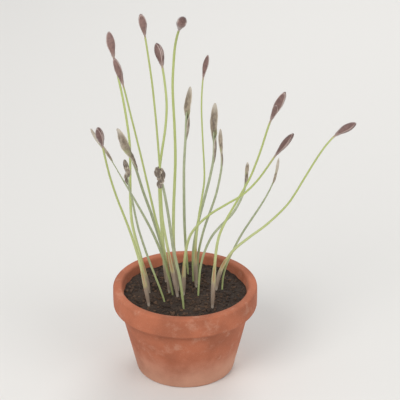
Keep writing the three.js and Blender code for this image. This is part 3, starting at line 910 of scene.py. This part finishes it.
# Girth of a bud, as a share of its widest, at shares of its length from the neck. Below
# BUD_NECK_END it is drawn in to the culm.
BUD_GIRTH = [
    [0, 0.37], [0.1, 0.46], [0.2, 0.56], [0.3, 0.7], [0.4, 0.86], [0.5, 0.96],
    [0.6, 1], [0.7, 0.94], [0.8, 0.81], [0.9, 0.59], [0.96, 0.36], [1, 0.1],
]
BUD_NECK_END = 0.12

# How far out the spindle of a bud lies, as a share of its girth, and how much of the margin's
# colour the scale beside a slit has
SPINDLE_LEVEL = 0.88
PALE_BESIDE_SLIT = 0.35

# Width of a long scale and of a short one, as a share of its widest, from its base to its point
LONG_WIDTH = [[0, 0.85], [0.3, 1], [0.75, 0.98], [0.88, 0.84], [0.96, 0.5], [1, 0.06]]
SHORT_WIDTH = [[0, 0.9], [0.3, 1], [0.55, 0.94], [0.75, 0.72], [0.9, 0.4], [1, 0.05]]

# The four long scales of a bud, two inner and two outer: where each starts and ends, as shares of
# the bud, its half angle, its turn from the viewer in degrees, how far out it lies, as a share of
# the girth, and how pale it is all over, from 0 to 1
LONG_SCALES = [
    [0.15, 1.0, 1.3, 90, 0.89, 0.85], [0.15, 0.995, 1.3, -90, 0.895, 0.85],
    [0.0, 0.995, 1.17, 0, 0.925, 0], [0.0, 0.98, 1.3, 180, 0.92, 0],
]

# Shorter scales round the foot of a bud, in the same terms
SHORT_SCALES = {
    "01": [[0.0, 0.5, 0.8, 150, 0.945, 0]],
    "02": [[0.0, 0.55, 0.75, 62, 0.945, 0]],
    "03": [[0.0, 0.6, 0.8, 66, 0.945, 0]],
    "04": [[0.0, 0.46, 0.8, 102, 0.955, 0]],
    "05": [[0.0, 0.5, 0.8, -90, 0.945, 0]],
    "07": [[0.0, 0.6, 1.2, -12, 0.945, 0]],
    "09": [[0.0, 0.52, 0.9, -60, 0.945, 0]],
    "10": [[0.0, 0.5, 0.8, 140, 0.945, 0]],
}

# Turn of each bud, in degrees, how much darker than the others it is, how full it is, how much
# darker still its tip is, and by how many degrees its first scale is turned away from the front,
# which leaves a slit where the spindle shows, painted dark as the slit's shade
BUD_LOOKS = {
    "01": [6, 0.15, 1.03, 0, 0], "02": [-8, 0, 1.04, 0, 0], "03": [0, 0.1, 0.97, 0, 0],
    "04": [-48, 0.6, 1.03, 0, 62], "05": [12, 0.25, 1.15, 0.45, 0],
    "06": [-14, 0.38, 0.94, 0, 0], "07": [-10, 0.4, 1, 0, 0], "08": [-42, 0.65, 0.95, 0, 64],
    "09": [-30, 0.5, 1.03, 0, 74], "10": [-32, 0.65, 1.04, 0, 60],
}


def bud_radius(culm, full, share, level):
    """Distance from a bud's axis at a share of it: its level times its girth, times its fullness.

    In the neck it eases to the culm's radius, plus a film that is thicker the further out the
    level lies.
    """
    girth = full * level * culm.half_width * through(BUD_GIRTH, share)
    neck = CULM_FILL * culm.radius(culm.neck) + (level - SPINDLE_LEVEL + 0.03) * MM
    rise = ramp(share, 0, BUD_NECK_END)
    return neck + (girth - neck) * rise**2 * (3 - 2 * rise)


def bud_scale(culm, full, scale, lift, settings):
    """One scale of a bud, as a flat tube: its outer face one way round, and its inner face back.

    A point has a share along the scale and a place across it, from -1 to 1. Its angle round the
    bud is the scale's middle plus its place times the half angle and the width there. Its
    distance from the axis is the bud's radius at the scale's level, lifted towards the tip and a
    little at the margins, less the thickness on the inner face.
    """
    start, end, half_angle, middle, level = scale
    along = np.linspace(0, 1, 26)[:, None]
    across, inner = flat_tube(17)
    share = start + along * (end - start)
    width = through(LONG_WIDTH if end > 0.9 else SHORT_WIDTH, along)
    angle = middle + half_angle * width * across
    rise = lift * along * (0.8 + 0.2 * np.abs(across) ** 3)
    radius = bud_radius(culm, full, share, level) + rise
    radius = radius - inner * settings.thickness * (1 - 0.7 * np.abs(across))
    points = culm.line.tube(culm.in_head(share), np.maximum(radius, 0.05 * MM), angle)
    return points, np.maximum(np.abs(across), along**5), share


def make_buds(settings):
    """Closed spikelets: a spindle inside long overlapping scales."""
    material = bud_finish(settings)
    for number, culm in FRESH.items():
        rng = np.random.default_rng(SEED + 30 + int(number))
        turn, darker, full, dark_tip, slit = BUD_LOOKS[number]
        share = np.concatenate([[-0.06], np.linspace(0, 1, 40)])[:, None]
        distance = culm.in_head(share)
        radius = bud_radius(culm, full, share, SPINDLE_LEVEL)
        spindle = culm.line.tube(distance, radius, once_round(CULM_SIDES))
        skin = Skin()
        # The spindle's tone is a half higher than the scales': painted shade, so that it shows dark in the
        # slits between them
        skin.add(spindle, distance, edge=0.4, tone=darker + 0.5, share=share)
        for start, end, half_angle, side, level, pale in LONG_SCALES + SHORT_SCALES.get(number, []):
            if slit:
                side, pale, slit = side + slit, PALE_BESIDE_SLIT, 0
            middle = TOWARDS_VIEWER + math.radians(turn + side + rng.uniform(-5, 5))
            lift = settings.lift * rng.uniform(0.8, 1.25)
            scale = (start, end, half_angle, middle, level)
            points, edge, along = bud_scale(culm, full, scale, lift, settings)
            tip = dark_tip * ramp(along, 0.8, 0.92)
            tone = darker + rng.uniform(-0.1, 0.1) + tip
            edge = np.maximum(edge, pale) - tip
            skin.add(points, culm.in_head(along), edge=edge, tone=tone, share=along)
        skin.piece(f"bud_{number}", material, "papery_scales", f"spikelet_{number}")


# Share of the head at which a faded culm ends inside it, where that isn't 0.53
STALK_END = {"01": 0.16, "02": 0.5, "07": 0.4, "08": 0.16, "09": 0.14}

# Where a faded culm is drawn out thin: how far below its neck, over what reach, in millimetres,
# and by what share
DRAWN_OUT = {"01": [9, 24, 0.38], "09": [4, 16, 0.15]}


def make_faded_culms(settings):
    """Faded culms: thin ribbed tubes that run on into their heads, where they sink back.

    From the neck on, the radius loses the sixth power of the share of the way to the end. Where a
    culm is drawn out, it loses a bell curve.
    """
    material = faded_finish(settings)
    for number, culm in FADED.items():
        end = culm.in_head(STALK_END.get(number, 0.53))
        last = end - 4 * MM
        distance = np.concatenate([np.arange(0, last, 1.5 * MM), np.linspace(last, end, 9)])[:, None]
        angle = once_round(CULM_SIDES)
        taper = 1 - 0.9 * ramp(distance, culm.neck, end) ** 6
        below, reach, thinned = DRAWN_OUT.get(number, [0, 1, 0])
        waist = np.exp(-(((distance - culm.neck) / MM + below) / reach) ** 2)
        girth = culm.radius(distance) * taper * (1 - thinned * waist)
        radius = ribbed(girth, angle, distance, ribs=7, depth=0.04 * MM, twist=140)
        share = (distance - culm.neck) / (culm.reach - culm.neck)
        form, way = HEAD_LOOKS[number][:2]
        sinking = ramp(share, 0.3, 0.46) * through(form["back"], share)
        sunk = 1.5 * max(way, 0) * culm.half_width * sinking
        height = (distance - culm.foot) / (culm.neck - culm.foot)
        skin = Skin()
        skin.add(culm.line.tube(distance, radius, angle, sunk), distance, height=height)
        skin.piece(f"faded_stem_{number}", material, "faded_stem", f"faded_culm_{number}")


# Share of the head at which the bract of a shrivelled head starts. The others start at -0.1.
SHEET_START = {"03": 0.2, "04": 0.36}

# The bract of a withered head is one sheet from its base, beside the culm, to its tip. Its middle
# lies to the right of the culm's line and back from it, and it is rolled about a line that it
# faces. Lengths are shares of the head's half width, and angles are in radians, at shares of the
# head. A twisted bract stands beside the culm below and turns to face front above.
TWISTED = {
    "right": [
        [-0.1, 0.36], [0, 0.7], [0.1, 0.98], [0.22, 1.12], [0.34, 1], [0.43, 0.6], [0.53, 0.18],
        [0.66, 0],
    ],
    "back": [[0.22, 0], [0.34, 0.2], [0.46, 0.42], [0.6, 0.4], [0.8, 0.2], [1, 0]],
    "half_arc": [
        [-0.1, 0.2], [0, 0.62], [0.1, 0.95], [0.22, 1.15], [0.32, 1.25], [0.42, 1.2], [0.5, 1.1],
        [0.6, 1.14], [0.7, 1.22], [0.8, 1.12], [0.88, 0.9], [0.94, 0.62], [0.98, 0.38], [1, 0.16],
    ],
    "roll": [
        [-0.1, 0.8], [0, 1.5], [0.1, 1.9], [0.25, 1.9], [0.38, 1.4], [0.5, 1], [0.66, 0.82], [1, 0.9],
    ],
    "facing": [[0, 3.14], [0.26, 3.25], [0.37, 3.7], [0.46, 4.3], [0.54, 4.65], [1, 4.85]],
}

# A strap wraps the end of the culm and stays flat and wide above it
STRAP = {
    "right": [[-0.1, 0.1], [0.2, 0.2], [0.5, 0]],
    "back": [[-0.1, 0.75], [0.14, 0.75], [0.35, 0.2], [1, 0]],
    "half_arc": [
        [-0.1, 0.4], [0, 0.95], [0.1, 1.2], [0.22, 1.12], [0.4, 1], [0.6, 1.12], [0.75, 1.1],
        [0.88, 0.84], [0.95, 0.45], [1, 0.14],
    ],
    "roll": [[-0.1, 1.4], [0.12, 1.3], [0.3, 0.9], [0.5, 0.7], [1, 0.9]],
    "facing": [[0, 4.75], [0.5, 4.8], [1, 4.85]],
}

# Each withered head: the form of its bract, 1 where its upper lobe faces the viewer and -1 where
# its back does, how wide it is, as a share of the head's width, how far right its lower lobe lies,
# how far right its upper lobe is set, in millimetres, its extra twist in turns along the upper
# lobe, how deep it is crumpled, in millimetres, and how much darker than the others it is
HEAD_LOOKS = {
    "01": [STRAP, -1, 1, 1, 0, 0.04, 0.15, -0.5],
    "02": [TWISTED, -1, 1.15, 0.6, -1.2, -0.04, 0.4, 0.1],
    "03": [TWISTED, 1, 0.6, 0.3, 0, 0.1, 0.4, 0.3],
    "04": [TWISTED, 1, 0.45, 0.1, 0, 0.2, 0.5, 0.5],
    "05": [TWISTED, 1, 1.08, 0.9, -0.3, 0.04, 0.22, 0.05],
    "06": [TWISTED, 1, 1.08, 0.62, -0.4, -0.04, 0.22, 0.2],
    "07": [TWISTED, -1, 1, 0.55, 0.4, 0.08, 0.22, -0.1],
    "08": [STRAP, -1, 1.15, 1, 0.3, -0.04, 0.2, 0],
    "09": [STRAP, -1, 0.85, 1, 0.6, 0.05, 0.3, -0.45],
}

# Shrivelled lobes: where each starts and ends, as shares of the head, how far right and back its
# middle lies and its radius, as shares of the head's half width
HEAD_LOBES = {
    "01": [[0.82, 1.0, 0.55, 0, 0.18]],
    "03": [
        [0.46, 1.0, -0.2, 0.0, 0.66], [0.22, 0.7, 0.48, -0.18, 0.54],
        [-0.15, 0.42, -0.31, 0.18, 0.6],
    ],
    "04": [
        [0.54, 1.0, -0.26, -0.07, 0.62], [0.46, 0.9, 0.51, 0.07, 0.48],
        [0.26, 0.72, -0.11, 0.07, 0.58], [0.16, 0.46, -0.52, -0.07, 0.5],
    ],
}


def crumple(distance, across, depth, rng):
    """Dents of a dry bract: lattice noise in two sizes, longer than wide."""
    coarse = lattice_noise(distance, DENT_SPAN * across, 4.5 * MM, rng)
    fine = lattice_noise(distance, DENT_SPAN * across, 1.6 * MM, rng)
    return depth * (coarse + 0.45 * fine)


def head_sheet(culm, looks, start, rng, settings):
    """The bract of a withered head, as a flat tube.

    A point's place across it, from -1 to 1, times the roll is its angle on a circle, whose radius
    is the half arc over the roll. The circle passes through the sheet's middle, with its centre
    on the side that the sheet faces. Both faces lie half a thickness off it, with dents.
    """
    form, way, breadth, spread, lean, twist, depth, darker = looks
    share = np.linspace(start, 1, 110)[:, None]
    across, inner = flat_tube(23)
    half_width = breadth * culm.half_width
    right_of_line = through(form["right"], share)
    middle_right = half_width * right_of_line * (1 + (spread - 1) * np.clip(right_of_line, 0, 1))
    middle_right = middle_right + lean * MM * ramp(share, 0.3, 0.55)
    middle_back = way * half_width * through(form["back"], share)
    half_arc = half_width * through(form["half_arc"], share)
    roll = through(form["roll"], share)
    facing = math.pi + way * (through(form["facing"], share) - math.pi)
    facing = facing + 2 * math.pi * twist * ramp(share, 0.5, 0.9)
    circle = half_arc / roll
    distance = culm.in_head(share)
    dents = crumple(distance, across, depth * MM, rng)
    dents = dents * ramp(half_arc, 0, 3 * MM) * (0.3 + 0.7 * np.abs(across))
    reach = circle + dents + (0.5 - inner) * settings.thickness * (1 - 0.6 * np.abs(across))
    angle = facing + roll * across
    right = middle_right + circle * np.cos(facing) - reach * np.cos(angle)
    back = middle_back + circle * np.sin(facing) - reach * np.sin(angle)
    sap = np.clip(1.1 - np.abs(share - 0.43) / 0.11, 0, 1) * np.clip(0.5 - across, 0, 1)
    sap = sap + ramp(share, 0.02, -0.08)
    tone = darker + 0.3 * ramp(share, 0.5, 0.3)
    marks = {"edge": np.abs(across), "share": share, "sap": sap, "tone": tone}
    return culm.line.carry(distance, right, back), distance, marks


def head_lobe(culm, lobe, darker, rng):
    """A shrivelled lobe: a dented and folded spindle beside the culm's line.

    Its radius is a root of the sine of the share of the way up it. The dents are lattice noise
    over the distance and both sides of the circle, so they close round it. The folds are the size
    of a sine of the angle that winds slowly on its way up, so they meet in sharp furrows.
    """
    low, high, right, back, girth = lobe
    climb = np.linspace(0.01, 0.99, 40)[:, None]
    angle = once_round(60)
    share = low + climb * (high - low)
    distance = culm.in_head(share)
    folds = np.abs(np.sin(4 * angle + 2 * climb + 9 * low)) - 0.6
    dents = lattice_noise(distance, DENT_SPAN * np.cos(angle), 2.6 * MM, rng)
    dents = dents + lattice_noise(distance, DENT_SPAN * np.sin(angle), 2.6 * MM, rng)
    relief = 1 + 0.16 * dents + 0.22 * folds * np.sin(math.pi * climb)
    radius = girth * culm.half_width * np.sin(math.pi * climb) ** 0.6 * relief
    right = right * culm.half_width + radius * np.cos(angle)
    back = back * culm.half_width + radius * np.sin(angle)
    # Painted shade and highlight: tone grows in the dents and furrows and edge on the bumps and ridges, so
    # the material darkens the hollows and paints the raised parts pale
    tone = darker - 0.6 * dents - 0.7 * folds
    marks = {"edge": 0.4 + 0.45 * dents + 0.3 * folds, "share": 0.8 * share, "sap": 0, "tone": tone}
    return culm.line.carry(distance, right, back), distance, marks


def make_withered_heads(settings):
    """Withered heads: a rolled sheet beside and above the end of the culm, and shrivelled lobes."""
    material = withered_finish(settings)
    for number, culm in FADED.items():
        rng = np.random.default_rng(SEED + 50 + int(number))
        looks = HEAD_LOOKS[number]
        start = SHEET_START.get(number, -0.1)
        points, distance, marks = head_sheet(culm, looks, start, rng, settings)
        if number in SHEET_START:
            marks["edge"] = 0.7 * marks["edge"]
            marks["share"] = 0.8 * marks["share"]
        skin = Skin()
        skin.add(points, distance, **marks)
        for lobe in HEAD_LOBES.get(number, []):
            points, distance, marks = head_lobe(culm, lobe, looks[-1], rng)
            skin.add(points, distance, **marks)
        skin.piece(f"dry_head_{number}", material, "withered_bract", f"withered_head_{number}")


# Studio


def seen_at(across, up):
    """The place across and up from the middle of the soil, square to the photographed view."""
    return np.array([across, 0, SOIL_LEVEL]) + up * UP_THE_VIEW


def aim(thing, place, target):
    """Puts a lamp or the camera at a place, looking at the target."""
    thing.location = place
    direction = Vector(target) - Vector(place)
    thing.rotation_euler = direction.to_track_quat("-Z", "Y").to_euler()


def add_lamp(name, place, width, power):
    """A square lamp that looks at the middle of the tuft."""
    lamp = bpy.data.lights.new(name, "AREA")
    lamp.size = width
    lamp.energy = power
    aim(linked(name, lamp), place, seen_at(*VIEW_CENTRE))


def make_floor(settings):
    """A wide pale floor, as a thin disc."""
    bpy.ops.mesh.primitive_circle_add(vertices=96, radius=8, fill_type="NGON")
    floor = bpy.context.object
    floor.name = "floor"
    floor.data.materials.append(Finish("studio_floor", settings.floor, Roughness=0.9).material)


def make_studio(settings):
    """The floor, a soft lamp on each side, light from all round, and the camera."""
    make_floor(settings)
    world = bpy.data.worlds.new("studio")
    world.use_nodes = True
    background = world.node_tree.nodes["Background"]
    background.inputs["Color"].default_value = (*settings.sky, 1)
    background.inputs["Strength"].default_value = settings.sky_strength
    bpy.context.scene.world = world
    add_lamp("key_lamp", (-1.0, -1.3, 1.5), 1.1, settings.key_power)
    add_lamp("fill_lamp", (1.3, -0.9, 0.9), 1.2, 0.35 * settings.key_power)
    add_lamp("back_lamp", (0.4, 1.3, 1.3), 1.0, 0.45 * settings.key_power)
    camera = bpy.data.cameras.new("camera")
    camera.lens = settings.lens
    made = linked("camera", camera)
    viewpoint = seen_at(*VIEW_CENTRE) - VIEW_DISTANCE * INTO_THE_VIEW
    aim(made, viewpoint, seen_at(VIEW_CENTRE[0], settings.aim_up))
    bpy.context.scene.camera = made
    bpy.context.scene.view_settings.view_transform = "Standard"


# Operators and panel


class MakePot(bpy.types.Operator):
    """Makes the clay pot with its drain holes"""

    bl_idname = "cotton_grass.make_pot"
    bl_label = "Clay pot"

    def execute(self, context):
        make_pot(context.scene.cotton_grass.pot)
        return {"FINISHED"}


class MakeSoil(bpy.types.Operator):
    """Makes the potting soil and its crumbs"""

    bl_idname = "cotton_grass.make_soil"
    bl_label = "Potting soil"

    def execute(self, context):
        make_soil(context.scene.cotton_grass.soil)
        return {"FINISHED"}


class MakeFreshCulms(bpy.types.Operator):
    """Makes the fresh culms"""

    bl_idname = "cotton_grass.make_fresh_culms"
    bl_label = "Fresh culms"

    def execute(self, context):
        make_fresh_culms(context.scene.cotton_grass.stems)
        return {"FINISHED"}


class MakeSheaths(bpy.types.Operator):
    """Makes the leaf sheath round the foot of each fresh culm"""

    bl_idname = "cotton_grass.make_sheaths"
    bl_label = "Leaf sheaths"

    def execute(self, context):
        make_sheaths(context.scene.cotton_grass.stems)
        return {"FINISHED"}


class MakeBuds(bpy.types.Operator):
    """Makes the closed spikelets on the fresh culms"""

    bl_idname = "cotton_grass.make_buds"
    bl_label = "Spikelets"

    def execute(self, context):
        make_buds(context.scene.cotton_grass.buds)
        return {"FINISHED"}


class MakeFadedCulms(bpy.types.Operator):
    """Makes the faded culms"""

    bl_idname = "cotton_grass.make_faded_culms"
    bl_label = "Faded culms"

    def execute(self, context):
        make_faded_culms(context.scene.cotton_grass.withered)
        return {"FINISHED"}


class MakeWitheredHeads(bpy.types.Operator):
    """Makes the withered heads on the faded culms"""

    bl_idname = "cotton_grass.make_withered_heads"
    bl_label = "Withered heads"

    def execute(self, context):
        make_withered_heads(context.scene.cotton_grass.withered)
        return {"FINISHED"}


class MakeStudio(bpy.types.Operator):
    """Makes the floor, the lamps and the camera"""

    bl_idname = "cotton_grass.make_studio"
    bl_label = "Studio"

    def execute(self, context):
        make_studio(context.scene.cotton_grass.studio)
        return {"FINISHED"}


OPERATORS = (
    MakePot, MakeSoil, MakeFreshCulms, MakeSheaths, MakeBuds, MakeFadedCulms, MakeWitheredHeads,
    MakeStudio,
)


class CottonGrassPanel(bpy.types.Panel):
    """Lists the settings and the steps that make the potted cotton grass"""

    bl_idname = "VIEW3D_PT_cotton_grass"
    bl_label = "Potted cotton grass"
    bl_space_type = "VIEW_3D"
    bl_region_type = "UI"
    bl_category = "Cotton grass"

    def draw(self, context):
        settings = context.scene.cotton_grass
        for group in ("pot", "soil", "stems", "buds", "withered", "studio"):
            box = self.layout.box()
            box.label(text=group.capitalize())
            values = getattr(settings, group)
            for name in values.__annotations__:
                box.prop(values, name)
        for operator in OPERATORS:
            self.layout.operator(operator.bl_idname)


CLASSES = (
    PotSettings, SoilSettings, StemSettings, BudSettings, WitheredSettings, StudioSettings,
    CottonGrassSettings, *OPERATORS, CottonGrassPanel,
)


def register():
    for item in CLASSES:
        bpy.utils.register_class(item)
    bpy.types.Scene.cotton_grass = PointerProperty(type=CottonGrassSettings)


def unregister():
    del bpy.types.Scene.cotton_grass
    for item in reversed(CLASSES):
        bpy.utils.unregister_class(item)


def main():
    """Makes every piece in order."""
    register()
    bpy.ops.cotton_grass.make_studio()
    bpy.ops.cotton_grass.make_pot()
    bpy.ops.cotton_grass.make_soil()
    bpy.ops.cotton_grass.make_fresh_culms()
    bpy.ops.cotton_grass.make_sheaths()
    bpy.ops.cotton_grass.make_buds()
    bpy.ops.cotton_grass.make_faded_culms()
    bpy.ops.cotton_grass.make_withered_heads()


if __name__ == "__main__":
    main()
